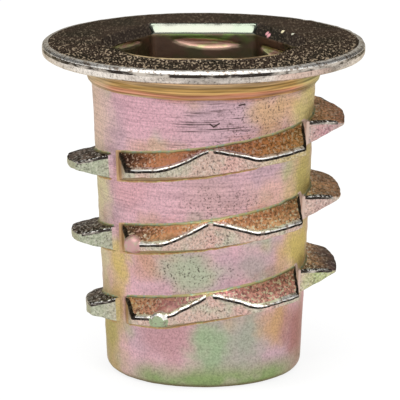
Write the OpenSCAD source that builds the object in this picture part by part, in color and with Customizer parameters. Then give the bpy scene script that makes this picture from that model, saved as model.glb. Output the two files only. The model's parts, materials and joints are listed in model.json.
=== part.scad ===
// Flanged screw-in threaded insert for wood, a single zinc die casting.
// It stands on its plain end: z = 0 is that end, +Z runs up the axis to the flange,
// and the hexagon's flats face +Y and -Y.

/* [Overall] */
// Height from the plain end to the top of the flange
overall_h = 15; // [14:0.1:22]

/* [Flange] */
// Diameter of the flange
flange_d = 14.5; // [12.5:0.1:20]
// Thickness of the flange
flange_t = 0.6; // [0.5:0.05:1.2]
// Rounding of both edges of the rim
rim_round = 0.2; // [0.05:0.05:0.24]

/* [Collar] */
// Diameter of the plain collar under the flange
collar_d = 10.5; // [10.3:0.05:12]
// Length of the plain collar
collar_h = 0.95; // [0.6:0.05:1.2]
// Length of the cone that leads from the collar into the body
collar_lead_h = 0.3; // [0.1:0.05:0.4]

/* [Body] */
// Diameter of the body under the collar
body_top_d = 10.05; // [9.8:0.05:10.25]
// Diameter of the body at the plain end
body_end_d = 8.8; // [8.4:0.05:9.6]
// Rounding of the plain end's outer edge
end_round = 0.45; // [0.1:0.05:0.5]

/* [Drive socket] */
// Width of the hexagon across its flats
hex_af = 8; // [7:0.1:8.2]
// Depth of the hexagon below the flange top
hex_depth = 4.5; // [4.2:0.1:6]
// Radius in the hexagon's corners
hex_corner_r = 0.35; // [0.1:0.05:0.6]
// Width of the chamfer along the mouth's flats
hex_chamfer = 0.4; // [0.1:0.05:0.6]
// Diameter of the round mouth, which ends the chamfers at the hexagon's corners
mouth_d = 9.2; // [9:0.05:10]

/* [Bore] */
// Core diameter of the internal screw thread
bore_d = 6.55; // [5:0.05:6.8]
// Width of the countersink at the plain end
bore_chamfer = 0.3; // [0.1:0.05:0.4]

/* [Wood thread] */
// Advance of the thread in one turn
thread_pitch = 3.32; // [2.8:0.02:3.5]
// Number of turns
thread_turns = 2.9; // [2:0.05:3]
// Height of the crest line at the lower end of the thread
thread_start_h = 2.17; // [1.6:0.01:2.6]
// Rise of the crest line on the right teeth, with an equal fall on the left
side_rise = 0.1; // [0:0.01:0.2]
// Height of the crest above the body on the right half
right_depth = 1.42; // [0.9:0.02:1.8]
// Height of the crest above the body on the left half
left_depth = 1.3; // [0.9:0.02:1.8]
// Break on the edges of the crest
crest_break = 0.05; // [0.02:0.01:0.06]
// Angle over which the lower end of the thread rises to its full depth
lower_fade = 145; // [60:1:180]
// Angle over which the upper end of the thread runs out
upper_fade = 50; // [30:1:120]

/* [Side teeth] */
// Reach of a tooth's root above the crest line
tooth_root_above = 0.55; // [0.4:0.01:0.7]
// Reach of a tooth's root below the crest line
tooth_root_below = 0.57; // [0.4:0.01:0.8]
// Height of the crest land's upper edge above the crest line
tooth_land_above = 0.24; // [0:0.01:0.35]
// Width of the crest land on the left teeth
left_land = 0.38; // [0.12:0.01:0.5]
// Width of the crest land on the right teeth
right_land = 0.14; // [0.12:0.01:0.5]
// Extra advance of the right teeth in one turn, taken downwards from the thread's upper end
right_stretch = 0.12; // [0:0.01:0.14]

/* [Front and back lobes] */
// Reach of a lobe's root above the crest line
lobe_root_above = 0.68; // [0.4:0.01:0.8]
// Reach of a lobe's root below the crest line
lobe_root_below = 0.6; // [0.5:0.01:0.9]
// Height of the crest land's upper edge above the crest line at the thread's lower end
lobe_land_above = 0.04; // [-0.1:0.01:0.2]
// Width of the crest land at the thread's lower end
lobe_land = 0.25; // [0.12:0.01:0.4]
// Widening of the crest land in one turn, at its upper edge
lobe_land_gain = 0.05; // [0:0.01:0.1]
// Turn of the dip in each lobe about the axis, from the hexagon's flats
dip_turn = 3.3; // [0:0.1:10]
// Thread height left in the bottom of each dip
dip_land = 0.12; // [0.1:0.01:0.5]
// Slope of the dip's two faces
dip_slope = 24.5; // [10:0.5:30]

/* [Gaps between the die slides] */
// Turn of the four die slides about the axis, from the hexagon's flats
slide_turn = 6.3; // [0:0.1:15]
// Angle of each gap from the middle of a side tooth
gap_angle = 30.3; // [20:0.1:40]
// Width of the bare strip in the bottom of each gap
gap_w = 0.35; // [0.2:0.05:0.8]
// Draft of the side teeth's end walls
tooth_draft = 18; // [0:1:25]
// Draft of the lobes' end walls
lobe_draft = 2.5; // [0:0.5:10]

/* [Casting pips] */
// Radius of the round pips left on the lobes
pip_r = 0.42; // [0.2:0.01:0.6]
// Height of a pip above the crest
pip_proud = 0.12; // [0:0.01:0.3]
// Angle of the middle pip from the front, towards the left
middle_pip_angle = 32; // [20:1:45]
// Angle of the lower pip from the front, towards the left
lower_pip_angle = 20; // [10:1:45]

/* [Hidden] */
$fn = 96;
zinc = [0.80, 0.66, 0.62];
overcut = 1;
collar_top_z = overall_h - flange_t;
collar_end_z = collar_top_z - collar_h;
body_top_z = collar_end_z - collar_lead_h;
body_slope = (body_top_d - body_end_d) / 2 / body_top_z;
body_lean = atan(body_slope);
end_round_x = body_end_d / 2 + end_round * body_slope - end_round / cos(body_lean);
hex_floor_z = overall_h - hex_depth;
hex_flat = (hex_af - 2 * hex_corner_r) / sqrt(3);
hex_corner_x = (hex_af / 2 - hex_corner_r) / cos(30);
// Shape of the swept thread: rings a few degrees apart, rooted well inside the body
ring_angle = 5;
root_sink = 0.4;
thread_start_angle = 90 + dip_turn;
thread_sweep = 360 * thread_turns;
thread_rings = ceil(thread_sweep / ring_angle);
ring_step = thread_sweep / thread_rings;
flank_blend = 3;
gap_sink = 0.05;
slide_reach = 3 * max(right_depth, left_depth);

// Radius of the tapered body at height z
function body_r(z) = body_end_d / 2 + body_slope * z;

// Height of the crest line after a sweep of a degrees
function crest_z(a) =
    thread_start_h + thread_pitch * a / 360 + side_rise * cos(thread_start_angle + a);

// Whether a sweep of a degrees ends on the right half
function is_right(a) = cos(thread_start_angle + a) > 0;

// Share of the full depth that the thread has reached after a sweep of a degrees
function fade(a) = min(1, a / lower_fade, (thread_sweep - a) / upper_fade);

// Angle from the middle of the nearer side slide, 0 to 90
function from_side(a) = let (t = thread_start_angle + a - slide_turn) abs(asin(sin(t)));

// Share of the lobe's form: 0 on the side teeth, 1 on the front and back lobes
function lobe_share(a) = max(0, min(1, (from_side(a) - gap_angle) / flank_blend + 0.5));

// Heights of the root's top, the land's two edges and the root's foot, from the crest line
function tooth_heights(land, sag) =
    [
        tooth_root_above - sag,
        tooth_land_above - sag,
        tooth_land_above - land - sag,
        -tooth_root_below - sag
    ];
function lobe_heights(a) =
    [
        lobe_root_above,
        lobe_land_above + lobe_land_gain * a / 360,
        lobe_land_above - lobe_land,
        -lobe_root_below
    ];
function heights(a) =
    let (
        share = lobe_share(a),
        land = is_right(a) ? right_land : left_land,
        sag = is_right(a) ? right_stretch * (thread_sweep - a) / 360 : 0
    )
    (1 - share) * tooth_heights(land, sag) + share * lobe_heights(a);

// Outline of the thread after a sweep of a degrees, as radius and height
function thread_section(a) =
    let (
        z = crest_z(a),
        h = heights(a),
        root = body_r(z),
        depth = is_right(a) ? right_depth : left_depth,
        crest = root + max(depth * fade(a), 2 * crest_break),
        upper_slope = (h[0] - h[1]) / depth,
        lower_slope = (h[2] - h[3]) / depth,
        top = h[0] - upper_slope * (crest - root),
        foot = h[3] + lower_slope * (crest - root)
    )
    [
        [root - root_sink, z + h[0] + upper_slope * root_sink],
        [root - root_sink, z + h[3] - lower_slope * root_sink],
        [crest - crest_break, z + foot - lower_slope * crest_break],
        [crest, z + foot + crest_break],
        [crest, z + top - crest_break],
        [crest - crest_break, z + top + upper_slope * crest_break]
    ];

// One ring of the thread, as points in space
function thread_ring(a) =
    let (t = thread_start_angle + a)
    [for (p = thread_section(a)) [p[0] * cos(t), p[0] * sin(t), p[1]]];

// The full helical thread before the die slides part it
module thread_sweep_solid() {
    corners = len(thread_section(0));
    points = [for (i = [0:thread_rings]) each thread_ring(i * ring_step)];
    last = thread_rings * corners;
    sides = [
        for (i = [0:thread_rings - 1], k = [0:corners - 1])
            let (
                a = i * corners + k,
                b = i * corners + (k + 1) % corners
            )
            each [[a, b, a + corners], [b, b + corners, a + corners]]
    ];
    start_cap = [for (k = [1:corners - 2]) [0, k + 1, k]];
    end_cap = [for (k = [1:corners - 2]) [last, last + k, last + k + 1]];
    polyhedron(points, concat(sides, start_cap, end_cap));
}

// Stands what follows on the body's surface, leaning out with the taper
module on_body(direction, height) {
    rotate(direction)
        translate([body_r(0) + height, 0, 0])
            rotate([0, body_lean, 0])
                translate([0, 0, -overcut])
                    children();
}

// The gap between a side tooth and a lobe: a bare strip with a drafted wall on each side
module slide_gap(side) {
    tooth_wall = -gap_angle - tooth_draft;
    lobe_wall = 90 + lobe_draft - gap_angle;
    half = gap_w / 2;
    on_body(side * gap_angle, -gap_sink)
        linear_extrude(overall_h)
            polygon([
                [0, -side * half],
                [slide_reach * cos(tooth_wall), side * (slide_reach * sin(tooth_wall) - half)],
                [slide_reach * cos(lobe_wall), side * (slide_reach * sin(lobe_wall) + half)],
                [0, side * half]
            ]);
}

// The shallow V in the middle of a front or back lobe
module lobe_dip() {
    rise = slide_reach * tan(dip_slope);
    on_body(0, dip_land)
        linear_extrude(overall_h)
            polygon([
                [0, 0],
                [rise, -slide_reach],
                [rise + slide_reach, -slide_reach],
                [rise + slide_reach, slide_reach],
                [rise, slide_reach]
            ]);
}

// A round pip on the crest of the lobe, a number of degrees left of the front
module casting_pip(angle, turn) {
    direction = 270 - angle;
    sweep = 360 * turn + direction - thread_start_angle;
    z = crest_z(sweep);
    rotate(direction)
        translate([body_r(z) + left_depth + pip_proud - pip_r, 0, z + lobe_land_above])
            sphere(pip_r);
}

module wood_thread() {
    difference() {
        thread_sweep_solid();
        for (half = [0, 180], side = [-1, 1])
            rotate(slide_turn + half)
                slide_gap(side);
        for (half = [90, 270])
            rotate(dip_turn + half)
                lobe_dip();
    }
    casting_pip(middle_pip_angle, 1);
    casting_pip(lower_pip_angle, 0);
}

// Half section of the plain turned form: end, taper, collar and flange
module shank_section() {
    polygon([
        [0, 0],
        [end_round_x, 0],
        [end_round_x + end_round * cos(body_lean), end_round * (1 - sin(body_lean))],
        [body_top_d / 2, body_top_z],
        [collar_d / 2, collar_end_z],
        [collar_d / 2, collar_top_z],
        [flange_d / 2 - rim_round, collar_top_z],
        [flange_d / 2 - rim_round, overall_h],
        [0, overall_h]
    ]);
    translate([end_round_x, end_round]) circle(end_round);
    for (z = [collar_top_z + rim_round, overall_h - rim_round])
        translate([flange_d / 2 - rim_round, z]) circle(rim_round);
    translate([flange_d / 4, collar_top_z + rim_round])
        square([flange_d / 4, flange_t - 2 * rim_round]);
}

module hex_outline() {
    for (turn = [0:60:120])
        rotate(turn) square([hex_flat, hex_af], center = true);
    for (turn = [0:60:300])
        rotate(turn) translate([hex_corner_x, 0]) circle(hex_corner_r);
}

// The chamfers round the mouth: three crossed wedges, each cut along one pair of flats
module hex_mouth() {
    half = hex_af / 2;
    flare = hex_chamfer + overcut;
    intersection_for(turn = [0:60:120])
        rotate(turn)
            rotate([90, 0, 90])
                linear_extrude(flange_d, center = true)
                    polygon([
                        [-half - flare, overcut],
                        [-half, -hex_chamfer],
                        [half, -hex_chamfer],
                        [half + flare, overcut]
                    ]);
}

module drive_socket() {
    translate([0, 0, hex_floor_z]) linear_extrude(hex_depth + overcut) hex_outline();
    translate([0, 0, overall_h])
        intersection() {
            hex_mouth();
            cylinder(h = 2 * hex_depth, d = mouth_d, center = true);
        }
}

module bore() {
    translate([0, 0, -overcut]) cylinder(h = hex_floor_z + 2 * overcut, d = bore_d);
    translate([0, 0, -overcut])
        cylinder(
            h = bore_chamfer + overcut,
            d1 = bore_d + 2 * (bore_chamfer + overcut),
            d2 = bore_d
        );
}

module insert_body() {
    color(zinc)
        difference() {
            union() {
                rotate_extrude() shank_section();
                wood_thread();
            }
            drive_socket();
            bore();
        }
}

insert_body();
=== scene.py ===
# %% [markdown]
# # A screw-in threaded insert
# The object is one zinc die casting: a tapered tube with a thin flange, a hexagon drive socket, a tapped
# bore and a coarse wood thread that the four die slides part into lobes and teeth. The imported part is
# loaded first, because it fixes where everything is.

import json
from math import asin, atan, atan2, cos, degrees, exp, hypot, pi, radians, sin, sqrt, tan

import bmesh
import bpy
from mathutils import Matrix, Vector, noise

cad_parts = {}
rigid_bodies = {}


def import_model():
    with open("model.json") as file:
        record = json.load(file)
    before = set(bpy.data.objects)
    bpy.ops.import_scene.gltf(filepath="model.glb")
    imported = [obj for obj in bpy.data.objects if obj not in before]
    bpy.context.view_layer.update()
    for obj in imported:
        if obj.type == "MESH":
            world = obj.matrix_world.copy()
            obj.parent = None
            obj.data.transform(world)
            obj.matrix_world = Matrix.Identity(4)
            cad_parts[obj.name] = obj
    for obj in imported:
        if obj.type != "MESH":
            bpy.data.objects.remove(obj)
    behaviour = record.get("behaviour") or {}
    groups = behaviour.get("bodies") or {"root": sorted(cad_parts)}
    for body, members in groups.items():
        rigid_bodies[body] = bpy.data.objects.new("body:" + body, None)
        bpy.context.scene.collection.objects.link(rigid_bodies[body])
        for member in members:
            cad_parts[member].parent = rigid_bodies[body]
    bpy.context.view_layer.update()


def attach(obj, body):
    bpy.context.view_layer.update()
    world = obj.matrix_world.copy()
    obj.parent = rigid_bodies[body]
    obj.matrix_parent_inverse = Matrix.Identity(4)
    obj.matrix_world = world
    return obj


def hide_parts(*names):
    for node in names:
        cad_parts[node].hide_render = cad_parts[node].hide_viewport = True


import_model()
scene = bpy.context.scene
MM = 0.001


# %% [markdown]
# ## Sizes
# These are the part's own sizes in millimetres, repeated from its source. The meshes are worked in
# millimetres too, where small distances are easy to read, and scaled to metres when they are finished.
# Angles are in degrees, counted from +X towards +Y, so the front that the camera sees is at 270. Two small
# things are not in the source: the sag of the lowest lobe's foot and the drop of the lower pip beside it.

# %% Sizes of the casting
OVERALL_H = 15.0
FLANGE_R, FLANGE_T, RIM_ROUND = 7.25, 0.6, 0.2
COLLAR_R, COLLAR_H, COLLAR_LEAD_H = 5.25, 0.95, 0.3
BODY_TOP_R, BODY_END_R, END_ROUND = 5.025, 4.4, 0.45
HEX_AF, HEX_DEPTH, HEX_CORNER_R, HEX_CHAMFER, MOUTH_R = 8.0, 4.5, 0.35, 0.4, 4.6
BORE_R, BORE_CHAMFER = 3.275, 0.3

COLLAR_TOP_Z = OVERALL_H - FLANGE_T
COLLAR_END_Z = COLLAR_TOP_Z - COLLAR_H
BODY_TOP_Z = COLLAR_END_Z - COLLAR_LEAD_H
HEX_FLOOR_Z = OVERALL_H - HEX_DEPTH
CHAMFER_FOOT_Z = OVERALL_H - HEX_CHAMFER
BODY_SLOPE = (BODY_TOP_R - BODY_END_R) / BODY_TOP_Z
BODY_LEAN = atan(BODY_SLOPE)


def body_r(z):
    """Radius of the tapered body at height z."""
    return BODY_END_R + BODY_SLOPE * z


print("body radius at the thread's foot and top:", round(body_r(2), 3), round(body_r(12), 3))

# %% Sizes of the wood thread
PITCH, THREAD_TURNS, THREAD_START_H, SIDE_RISE = 3.32, 2.9, 2.17, 0.1
RIGHT_DEPTH, LEFT_DEPTH = 1.42, 1.3
LOWER_FADE, UPPER_FADE = 145, 50
TOOTH_ROOT_ABOVE, TOOTH_ROOT_BELOW, TOOTH_LAND_ABOVE = 0.55, 0.57, 0.24
LEFT_LAND, RIGHT_LAND, RIGHT_STRETCH = 0.38, 0.14, 0.12
LOBE_HEIGHTS, LOBE_LAND_GAIN = (0.68, 0.04, -0.21, -0.6), 0.05
FOOT_SAG, SAG_AT, SAG_HALF = 0.14, 154, 13  # depth, and degrees of sweep where the lowest lobe's foot sags
DIP_TURN, DIP_LAND, DIP_SLOPE = 3.3, 0.12, 24.5
SLIDE_TURN, GAP_ANGLE, GAP_W, GAP_SINK = 6.3, 30.3, 0.35, 0.05
TOOTH_DRAFT, LOBE_DRAFT, FLANK_BLEND = 18, 2.5, 3
PIP_R, PIP_PROUD = 0.42, 0.12
PIPS = ((32, 1, 0), (20, 0, 0.17))  # degrees left of the front, turn and drop below the crest's edge

THREAD_START = 90 + DIP_TURN
THREAD_SWEEP = 360 * THREAD_TURNS
# Each gap between the die slides: the sense that leads to its lobe, and its direction
GAPS = [(side, SLIDE_TURN + half + side * GAP_ANGLE) for half in (0, 180) for side in (-1, 1)]
print("the wood thread sweeps", round(THREAD_SWEEP), "degrees, with gaps at", [gap for _, gap in GAPS])

# %% [markdown]
# ## The camera
# The photograph looks slightly down on the standing part from far away, so the camera gets a long lens and
# no shift. It is set up first, because every later judgement is made through it.

# %% Camera
CAMERA_TARGET = Vector((-0.16, 0, 7.65)) * MM
CAMERA_ELEVATION, CAMERA_DISTANCE = 13.3, 156 * MM
SENSOR, FOCAL_PIXELS, PHOTO_PIXELS = 36, 3440, 400
NEAR_CLIP, FAR_CLIP = 0.002, 20

lens = bpy.data.cameras.new("photo_lens")
lens.sensor_width = SENSOR
lens.lens = SENSOR * FOCAL_PIXELS / PHOTO_PIXELS
lens.clip_start, lens.clip_end = NEAR_CLIP, FAR_CLIP
camera = bpy.data.objects.new("photo_camera", lens)
scene.collection.objects.link(camera)
tilt = radians(CAMERA_ELEVATION)
camera.location = CAMERA_TARGET + CAMERA_DISTANCE * Vector((0, -cos(tilt), sin(tilt)))
camera.rotation_euler = (pi / 2 - tilt, 0, 0)
scene.camera = camera
scene.view_settings.view_transform = "Standard"
print("lens in mm:", round(lens.lens, 1))

# %% [markdown]
# ## The section of the thread
# A screw thread is one outline carried round a helix. Here the outline changes on the way: the die slides
# cut the thread back to the body at four gaps, a shallow V dips into the middle of the front and back
# lobes, and both ends run out. All of these only limit how far the crest stands out, so the section is a
# trapezoid whose land sinks with that limit. Soft minimums round the corners between the cuts, as a
# casting's are.

# %% How far the thread may stand out
CORNER_SOFT, DIP_SOFT = 0.09, (0.55, 0.3)
TOOTH_REACH, LOBE_REACH = -60, 90  # degrees from a gap, as far as its two walls can cut the crest
ALONG_WALL, DIP_REACH = 1, 0.3  # degrees and share past which a wall or a dip no longer meets the radius


def turn_from(origin, angle):
    """Degrees from one direction to another, between -180 and 180."""
    return (angle - origin + 180) % 360 - 180


def soft_min(a, b, k):
    """The smaller of two values, rounded over where they meet."""
    h = max(k - abs(a - b), 0) / k
    return min(a, b) - h * h * k / 4


def wall_limit(base, angle, draft):
    """Radius of a straight die wall that leaves the gap's edge at draft degrees from the radius, or None."""
    if draft - angle <= ALONG_WALL:
        return None
    lean = radians(draft)
    return (base * sin(lean) - GAP_W / 2 * cos(lean)) / sin(radians(draft - angle))


def crest_limit(angle, z, crest):
    """Crest radius at an angle after the gaps and dips have cut it."""
    base = body_r(z)
    for side, gap in GAPS:
        off = side * turn_from(gap, angle)
        if TOOTH_REACH < off < LOBE_REACH:
            draft = 90 + LOBE_DRAFT - GAP_ANGLE if off >= 0 else GAP_ANGLE + TOOTH_DRAFT
            limit = wall_limit(base - GAP_SINK, abs(off), draft)
            if limit is not None:
                crest = soft_min(crest, limit, CORNER_SOFT)
    for middle in (90, 270):
        off = radians(turn_from(middle + DIP_TURN, angle))
        reach = cos(off) - abs(sin(off)) * tan(radians(DIP_SLOPE))
        if reach > DIP_REACH:
            soft = DIP_SOFT[0] if (off < 0) == (middle == 270) else DIP_SOFT[1]
            crest = soft_min(crest, (base + DIP_LAND) / reach, soft)
    return max(crest, base)


print("crest over the body in the front dip:", round(crest_limit(270 + DIP_TURN, 6, 6.2) - body_r(6), 3))

# %% Corners of the section after a sweep of a degrees
def crest_z(a):
    """Height of the crest line."""
    return THREAD_START_H + PITCH * a / 360 + SIDE_RISE * cos(radians(THREAD_START + a))


def section_heights(a):
    """Root top, land top, land foot and root foot, from the crest line, and the thread's full depth."""
    right = cos(radians(THREAD_START + a)) > 0
    land, sag = (RIGHT_LAND, RIGHT_STRETCH * (THREAD_SWEEP - a) / 360) if right else (LEFT_LAND, 0)
    tooth = [TOOTH_ROOT_ABOVE, TOOTH_LAND_ABOVE, TOOTH_LAND_ABOVE - land, -TOOTH_ROOT_BELOW]
    tooth = [h - sag for h in tooth]
    lobe = (LOBE_HEIGHTS[0], LOBE_HEIGHTS[1] + LOBE_LAND_GAIN * a / 360, *LOBE_HEIGHTS[2:])
    from_side = abs(degrees(asin(sin(radians(THREAD_START + a - SLIDE_TURN)))))
    share = min(1, max(0, (from_side - GAP_ANGLE) / FLANK_BLEND + 0.5)) if 0 < a < THREAD_SWEEP else 1
    return [t + share * (l - t) for t, l in zip(tooth, lobe)], RIGHT_DEPTH if right else LEFT_DEPTH


def section_corners(a):
    """The six corners of one pitch of the wall, as radius and height, and the thread's height there."""
    z = crest_z(a)
    (root_top, land_top, land_foot, root_foot), depth = section_heights(a)
    fade = max(0, min(1, a / LOWER_FADE, (THREAD_SWEEP - a) / UPPER_FADE))
    root = body_r(z)
    lift = crest_limit(THREAD_START + a, z, root + depth * fade) - root
    sag = FOOT_SAG * exp(-(((a - SAG_AT) / SAG_HALF) ** 2))
    land_foot, root_foot = land_foot - sag, root_foot - sag
    top = root_top - (root_top - land_top) * lift / depth
    foot = root_foot + (land_foot - root_foot) * lift / depth
    heights = (-PITCH / 2, root_foot, foot, top, root_top, PITCH / 2)
    return [(body_r(z + h) + (lift if h in (foot, top) else 0), z + h) for h in heights], lift


print("section after one turn:", [(round(r, 2), round(z, 2)) for r, z in section_corners(360)[0]])

# %% [markdown]
# ## Rows of the wall
# The mesh follows the section in rows: a few points on each straight stretch and several round each corner,
# so the edges keep a real radius that catches the light. Each strip between two rows has a name, from which
# it gets its finish later.

# %% Strips of one section
VALLEY_STEPS, UNDER_STEPS, UPPER_STEPS = 6, 3, 5
CORNER_POINTS, CREST_POINTS = 4, 5
STRIP_COUNTS = (
    ("body", VALLEY_STEPS + 1),
    ("foot", CORNER_POINTS - 1),
    ("under", UNDER_STEPS + 1),
    ("under_edge", CORNER_POINTS - 1),
    ("land", 2),
    ("shade", 1),
    ("edge", CREST_POINTS - 1),
    ("upper", UPPER_STEPS + 1),
    ("upper_root", CORNER_POINTS - 1),
    ("body", VALLEY_STEPS + 1),
)
STRIPS = [name for name, count in STRIP_COUNTS for _ in range(count)]
ROWS = len(STRIPS) + 1
print("strips in a section:", len(STRIPS))

# %% Rounded rows of one section
ROOT_FILLET, FOOT_EDGE, CREST_EDGE_LAND, CREST_EDGE_FLANK, SHADE_W = 0.08, 0.06, 0.05, 0.2, 0.11
MOST_OF_SIDE, TINY = 0.45, 1e-9


def towards(p, q, distance):
    """The point some way from p to q, at most a little less than half of the whole way."""
    share = min(distance / max(hypot(q[0] - p[0], q[1] - p[1]), TINY), MOST_OF_SIDE)
    return p[0] + (q[0] - p[0]) * share, p[1] + (q[1] - p[1]) * share


def rounded(corner, before, after, before_w, after_w, count):
    """A corner replaced by an even curve between points on its two sides."""
    start, end = towards(corner, before, before_w), towards(corner, after, after_w)
    shares = [i / (count - 1) for i in range(count)]
    return [
        tuple((1 - s) ** 2 * b + 2 * s * (1 - s) * c + s * s * e for b, c, e in zip(start, corner, end))
        for s in shares
    ]


def between(p, q, count):
    """Evenly spaced points between p and q, without the ends."""
    return [tuple(a + (b - a) * i / (count + 1) for a, b in zip(p, q)) for i in range(1, count + 1)]


def section_rows(a):
    """All the rows of the section after a sweep of a degrees, from the valley below to the valley above."""
    (low, foot_root, foot, top, top_root, high), lift = section_corners(a)
    lower_root = rounded(foot_root, low, foot, ROOT_FILLET, ROOT_FILLET, CORNER_POINTS)
    lower_edge = rounded(foot, foot_root, top, FOOT_EDGE, FOOT_EDGE, CORNER_POINTS)
    upper_edge = rounded(top, foot, top_root, CREST_EDGE_LAND, CREST_EDGE_FLANK, CREST_POINTS)
    upper_root = rounded(top_root, top, high, ROOT_FILLET, ROOT_FILLET, CORNER_POINTS)
    shade_foot = towards(upper_edge[0], lower_edge[-1], SHADE_W)
    rows = [low] + between(low, lower_root[0], VALLEY_STEPS) + lower_root
    rows += between(lower_root[-1], lower_edge[0], UNDER_STEPS) + lower_edge
    rows += between(lower_edge[-1], shade_foot, 1) + [shade_foot] + upper_edge
    rows += between(upper_edge[-1], upper_root[0], UPPER_STEPS) + upper_root
    return rows + between(upper_root[-1], high, VALLEY_STEPS) + [high], lift


print("rows in a section:", ROWS, "=", len(section_rows(400)[0]))

# %% [markdown]
# ## Winding the wall
# One turn of the wall is a straight row of points, spun about the axis while it climbs by one pitch. Copies
# of that turn stack without a gap, so welding them gives one endless wall. Each point then moves out to its
# place on the section, which turns the plain tube into the threaded one.

# %% Spin one turn, stack the turns and weld them
COLUMNS, STACK_TURNS, FIRST_ANGLE, TUBE_R, WELD = 300, 6, -336, 5, 1e-3


def only(geometry, kind):
    """The points, edges or faces of a mixed list."""
    return [g for g in geometry if isinstance(g, kind)]


def wind(bm, column, pitch, columns, turns):
    """Spins a column of points through a turn that climbs by a pitch, then stacks and welds copies of it."""
    edges = [bm.edges.new(pair) for pair in zip(column, column[1:])]
    bmesh.ops.spin(
        bm,
        geom=column + edges,
        cent=(0, 0, 0),
        axis=(0, 0, 1),
        dvec=(0, 0, pitch / columns),
        angle=2 * pi,
        steps=columns,
    )
    one_turn = bm.verts[:] + bm.edges[:] + bm.faces[:]
    for turn in range(1, turns):
        copied = bmesh.ops.duplicate(bm, geom=one_turn)["geom"]
        bmesh.ops.translate(bm, verts=only(copied, bmesh.types.BMVert), vec=(0, 0, pitch * turn))
    bmesh.ops.remove_doubles(bm, verts=bm.verts[:], dist=WELD)


casting = bmesh.new()
row_layer = casting.verts.layers.int.new("row")
lift_layer = casting.verts.layers.float.new("lift")
first_z = THREAD_START_H + PITCH * (FIRST_ANGLE - THREAD_START) / 360
first_x, first_y = TUBE_R * cos(radians(FIRST_ANGLE)), TUBE_R * sin(radians(FIRST_ANGLE))
column_z = [first_z + PITCH * (row / (ROWS - 1) - 0.5) for row in range(ROWS)]
wind(casting, [casting.verts.new((first_x, first_y, z)) for z in column_z], PITCH, COLUMNS, STACK_TURNS)
print("wound wall:", len(casting.verts), "points,", len(casting.faces), "faces")

# %% Move every point out to the section
KEYS_PER_DEGREE = 10  # sections that are worked out apart


def place(v):
    """Angle in degrees, radius and height of a point."""
    return degrees(atan2(v.co.y, v.co.x)), hypot(v.co.x, v.co.y), v.co.z


def put(v, angle, r, z):
    """Moves a point to an angle in degrees, a radius and a height."""
    v.co = (r * cos(radians(angle)), r * sin(radians(angle)), z)


def sweep_at(angle, z):
    """Sweep of the turn of the thread that is nearest in height."""
    around = (angle - THREAD_START) % 360
    return around + 360 * round((z - THREAD_START_H - PITCH * around / 360) / PITCH)


sections = {}
for v in casting.verts:
    angle, _, z = place(v)
    sweep = sweep_at(angle, z)
    share = (z - THREAD_START_H) / PITCH - sweep / 360 + 0.5
    row = min(ROWS - 1, max(0, round(share * (ROWS - 1))))
    key = round(sweep * KEYS_PER_DEGREE)
    if key not in sections:
        sections[key] = section_rows(sweep)
    rows, lift = sections[key]
    put(v, angle, *rows[row])
    v[row_layer], v[lift_layer] = row, lift
print("sections worked out:", len(sections))

# %% [markdown]
# ## Trimming the ends
# Above and below the thread the wall is a plain cone, so a flat cut leaves a true circle there. The rows
# that lie close together on the plain cone are merged first, and so are the slivers that a cut leaves,
# because both would show as ticks in the shading.

# %% Trim the wall to its plain circles
SLIVER, CUT_SNAP, NO_LIFT = 0.04, 1e-4, 1e-6
LOWER_CUT, UPPER_CUT = 0.7, 13.02
PLAIN_BELOW, PLAIN_ABOVE = 1.6, 12.4


def cut_off(bm, z, direction):
    """Cuts away what lies above a height, or below it where the direction is -1."""
    bmesh.ops.bisect_plane(
        bm,
        geom=bm.verts[:] + bm.edges[:] + bm.faces[:],
        dist=CUT_SNAP,
        plane_co=(0, 0, z),
        plane_no=(0, 0, direction),
        clear_outer=True,
    )


plain = [v for v in casting.verts if v[lift_layer] < NO_LIFT and not PLAIN_BELOW < v.co.z < PLAIN_ABOVE]
bmesh.ops.remove_doubles(casting, verts=plain, dist=SLIVER / 2)
for z, direction in ((LOWER_CUT, -1), (UPPER_CUT, 1)):
    cut_off(casting, z, direction)
    near_cut = [v for v in casting.verts if abs(v.co.z - z) < 2 * SLIVER]
    bmesh.ops.remove_doubles(casting, verts=near_cut, dist=SLIVER)
    for v in casting.verts:
        if abs(v.co.z - z) < SLIVER:
            put(v, place(v)[0], body_r(z), z)
print("trimmed wall:", len(casting.faces), "faces")

# %% [markdown]
# ## Which face gets which finish
# The plating looks different on each kind of surface: the turned body, the frosted upper flanks, the pale
# crest faces, the edges with a painted highlight and a painted shade line under it. One material per kind is
# easiest to adjust, so every face is marked with its finish now, while its row and its height over the body
# are still known.

# %% Names of the finishes
FINISHES = (
    "turned_body upper_flank left_tooth_top crest_face "
    "under_flank foot_line bright_edge edge_shade tooth_edge "
    "middle_pip lower_pip pip_rim root_line parting_strip "
    "gold_collar flange_rim rim_shade flange_top mouth_edge mouth_chamfer socket_wall bore_thread"
).split()
STRIP_FINISH = {
    "body": "turned_body",
    "foot": "foot_line",
    "under": "under_flank",
    "under_edge": "crest_face",
    "land": "crest_face",
    "shade": "edge_shade",
    "edge": "bright_edge",
    "upper": "upper_flank",
    "upper_root": "root_line",
}


def paint(face, finish):
    """Marks a face with a finish."""
    face.material_index = FINISHES.index(finish)


def place_of(face):
    """Angle in degrees and height of a face's middle."""
    middle = face.calc_center_median()
    return degrees(atan2(middle.y, middle.x)), middle.z


print(len(FINISHES), "finishes")

# %% Mark the wall
PROUD_ENOUGH, DIP_LIFT, TIP_LIFT, ROWS_OF_STRIP = 0.1, 0.18, 1.22, 2
# a lobe's edge near a gap gets the painted shade line
LOBE_WALL_SPAN, END_WALL_SPAN = 22, 12  # degrees from a gap where a lobe's edge is dark and its end is tan
STRIP_SPANS = {True: (-4, 5), False: (0.9, 5)}  # the parting strip's degrees from a gap, right and left


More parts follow.
